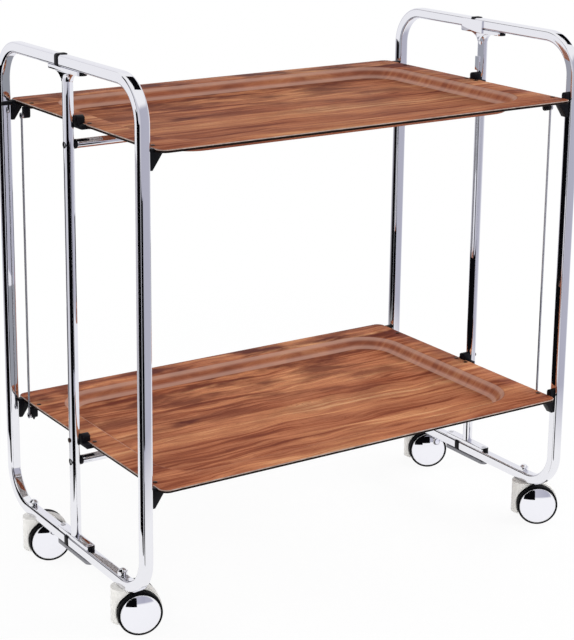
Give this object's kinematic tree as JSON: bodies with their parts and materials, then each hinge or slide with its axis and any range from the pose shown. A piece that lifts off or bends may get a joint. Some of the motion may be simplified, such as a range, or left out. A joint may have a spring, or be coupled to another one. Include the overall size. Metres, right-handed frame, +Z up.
{
  "type": "folding serving cart",
  "caption": "Two-tier folding serving cart: chromed tube end frames, dished wood trays that tip together, and swivelling twin-wheel casters.",
  "frame": {"origin": "on the floor, midway between the four uprights of the end frames", "axes": "+X along the cart towards its right end, -Y out of its front, +Z up"},
  "size_m": [0.7351, 0.412, 0.7215],
  "materials": {
    "chromed_steel": "polished chrome plate",
    "plain_steel": "bright drawn steel",
    "dark_rivet": "burnished",
    "black_plastic": "moulded, satin",
    "walnut_laminate": "satin wood-grain laminate",
    "pale_plastic": "moulded, satin",
    "white_plastic": "moulded",
    "black_rubber": "soft tread",
    "mirror_cap": "mirror plate"
  },
  "bodies": {
    "cart_frame": {"left_rear_frame": "chromed_steel", "left_front_frame": "chromed_steel", "right_rear_frame": "chromed_steel", "right_front_frame": "chromed_steel", "left_post": "chromed_steel", "right_post": "chromed_steel", "left_top_bar": "chromed_steel", "right_top_bar": "chromed_steel", "left_bottom_bar": "chromed_steel", "right_bottom_bar": "chromed_steel", "lower_hinge_plates": "plain_steel", "hinge_pins": "plain_steel", "rail_collars": "black_plastic", "bar_end_caps": "black_plastic", "pivot_bushes": "black_plastic", "post_rivets": "dark_rivet", "stop_pads": "black_plastic", "tray_catch": "chromed_steel", "caster_stems": "plain_steel", "stem_nuts": "chromed_steel"},
    "upper_deck": {"upper_tray": "walnut_laminate", "upper_crossbar": "chromed_steel", "upper_pivot_pins": "plain_steel", "upper_saddles": "black_plastic", "upper_end_brackets": "black_plastic", "upper_corner_brackets": "black_plastic", "upper_rivets": "dark_rivet", "upper_rod_clips": "black_plastic"},
    "lower_deck": {"lower_tray": "walnut_laminate", "lower_crossbar": "chromed_steel", "lower_pivot_pins": "plain_steel", "lower_saddles": "black_plastic", "lower_end_brackets": "black_plastic", "lower_corner_brackets": "black_plastic", "lower_rivets": "dark_rivet", "lower_rod_clips": "black_plastic"},
    "rear_left_link": {"rear_left_rod": "plain_steel"},
    "front_right_link": {"front_right_rod": "plain_steel"},
    "front_left_fork": {"front_left_hood": "pale_plastic"},
    "front_left_wheels": {"front_left_axle": "plain_steel", "front_left_hubs": "white_plastic", "front_left_tyres": "black_rubber", "front_left_caps": "mirror_cap"},
    "rear_left_fork": {"rear_left_hood": "pale_plastic"},
    "rear_left_wheels": {"rear_left_axle": "plain_steel", "rear_left_hubs": "white_plastic", "rear_left_tyres": "black_rubber", "rear_left_caps": "mirror_cap"},
    "front_right_fork": {"front_right_hood": "pale_plastic"},
    "front_right_wheels": {"front_right_axle": "plain_steel", "front_right_hubs": "white_plastic", "front_right_tyres": "black_rubber", "front_right_caps": "mirror_cap"},
    "rear_right_fork": {"rear_right_hood": "pale_plastic"},
    "rear_right_wheels": {"rear_right_axle": "plain_steel", "rear_right_hubs": "white_plastic", "rear_right_tyres": "black_rubber", "rear_right_caps": "mirror_cap"}
  },
  "joints": [
    {"name": "upper_tray_tilt", "type": "hinge", "parent": "cart_frame", "child": "upper_deck", "pos_m": [0, 0, 0.608], "axis": [1, 0, 0], "range_deg": [0, 40]},
    {"name": "lower_tray_tilt", "type": "hinge", "parent": "cart_frame", "child": "lower_deck", "pos_m": [0, 0, 0.185], "axis": [1, 0, 0], "range_deg": [0, 40]},
    {"name": "rear_left_rod_turn", "type": "hinge", "parent": "upper_deck", "child": "rear_left_link", "pos_m": [-0.3213, 0.16, 0.618], "axis": [1, 0, 0], "range_deg": [-40, 0]},
    {"name": "front_right_rod_turn", "type": "hinge", "parent": "upper_deck", "child": "front_right_link", "pos_m": [0.3213, -0.16, 0.618], "axis": [1, 0, 0], "range_deg": [-40, 0]},
    {"name": "front_left_swivel", "type": "hinge", "parent": "cart_frame", "child": "front_left_fork", "pos_m": [-0.333, -0.128, 0.045], "axis": [0, 0, 1], "continuous": true},
    {"name": "front_left_roll", "type": "hinge", "parent": "front_left_fork", "child": "front_left_wheels", "pos_m": [-0.31583, -0.13341, 0.029], "axis": [0.3007, 0.9537, 0], "continuous": true},
    {"name": "rear_left_swivel", "type": "hinge", "parent": "cart_frame", "child": "rear_left_fork", "pos_m": [-0.333, 0.128, 0.045], "axis": [0, 0, 1], "continuous": true},
    {"name": "rear_left_roll", "type": "hinge", "parent": "rear_left_fork", "child": "rear_left_wheels", "pos_m": [-0.31557, 0.12349, 0.029], "axis": [0.2504, 0.9681, 0], "continuous": true},
    {"name": "front_right_swivel", "type": "hinge", "parent": "cart_frame", "child": "front_right_fork", "pos_m": [0.333, -0.128, 0.045], "axis": [0, 0, 1], "continuous": true},
    {"name": "front_right_roll", "type": "hinge", "parent": "front_right_fork", "child": "front_right_wheels", "pos_m": [0.34843, -0.13727, 0.029], "axis": [0.515, 0.8572, 0], "continuous": true},
    {"name": "rear_right_swivel", "type": "hinge", "parent": "cart_frame", "child": "rear_right_fork", "pos_m": [0.333, 0.128, 0.045], "axis": [0, 0, 1], "continuous": true},
    {"name": "rear_right_roll", "type": "hinge", "parent": "rear_right_fork", "child": "rear_right_wheels", "pos_m": [0.34897, 0.11969, 0.029], "axis": [0.4617, 0.887, 0], "continuous": true}
  ],
  "couplings": [
    {"joint": "lower_tray_tilt", "follows": "upper_tray_tilt", "ratio": 1},
    {"joint": "rear_left_rod_turn", "follows": "upper_tray_tilt", "ratio": -1},
    {"joint": "front_right_rod_turn", "follows": "upper_tray_tilt", "ratio": -1}
  ]
}
